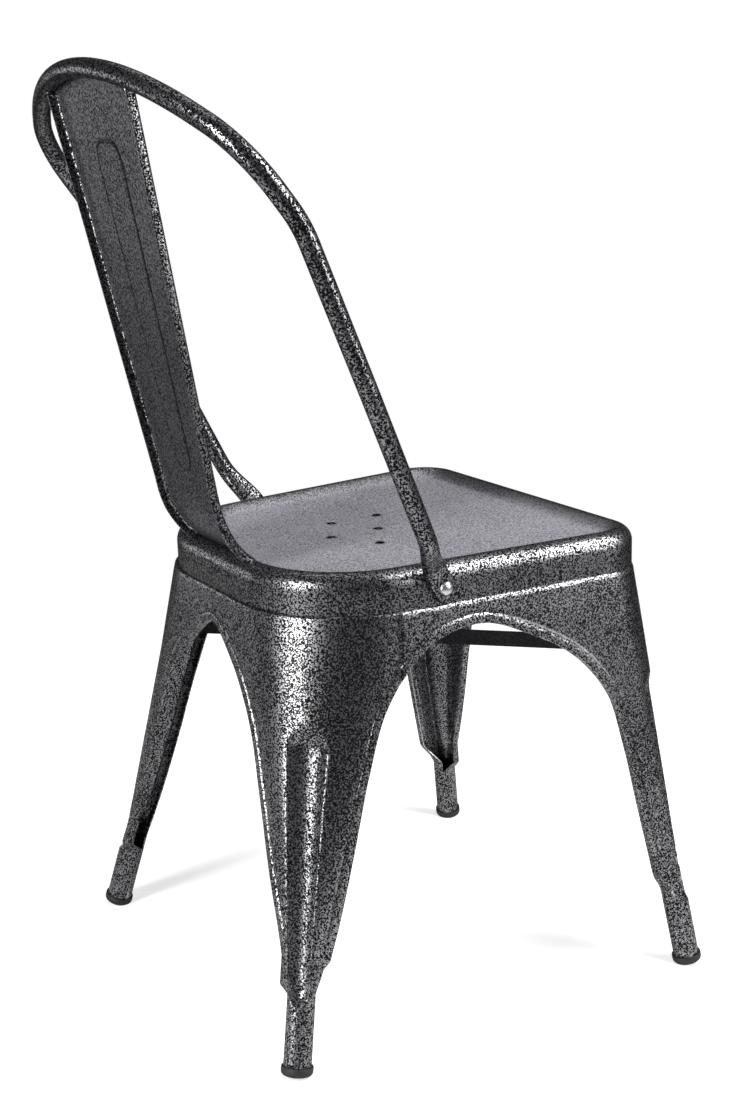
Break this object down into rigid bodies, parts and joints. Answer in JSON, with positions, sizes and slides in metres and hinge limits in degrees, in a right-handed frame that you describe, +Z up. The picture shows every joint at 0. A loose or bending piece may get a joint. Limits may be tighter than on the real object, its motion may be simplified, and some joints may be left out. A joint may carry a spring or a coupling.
{
  "type": "bistro chair",
  "caption": "Stacking side chair of pressed sheet steel with fluted legs, a dished seat, a bent tube back hoop and a flanged splat.",
  "frame": {"origin": "on the floor, under the middle of the chair's whole box", "axes": "+Z up, -Y the way a sitter faces, +X towards the sitter's left; the chair is symmetric about x = 0"},
  "size_m": [0.4496, 0.5493, 0.8501],
  "materials": {
    "frame_paint": "hammered silver grey with dark specks, satin gloss",
    "panel_paint": "finely hammered grey, satin",
    "foot_rubber": "matt black"
  },
  "bodies": {
    "root": {"back_hoop": "frame_paint", "back_splat": "panel_paint", "brace_weld_front_left": "frame_paint", "brace_weld_front_right": "frame_paint", "brace_weld_rear_left": "frame_paint", "brace_weld_rear_right": "frame_paint", "cross_brace_lower": "frame_paint", "cross_brace_upper": "frame_paint", "foot_cap_front_left": "foot_rubber", "foot_cap_front_right": "foot_rubber", "foot_cap_rear_left": "foot_rubber", "foot_cap_rear_right": "foot_rubber", "hoop_rivet_left": "frame_paint", "hoop_rivet_right": "frame_paint", "leg_front_left": "frame_paint", "leg_front_right": "frame_paint", "leg_rear_left": "frame_paint", "leg_rear_right": "frame_paint", "seat_pan": "panel_paint", "splat_foot_weld_left": "frame_paint", "splat_foot_weld_right": "frame_paint", "splat_head_weld_left": "frame_paint", "splat_head_weld_right": "frame_paint"}
  },
  "joints": []
}
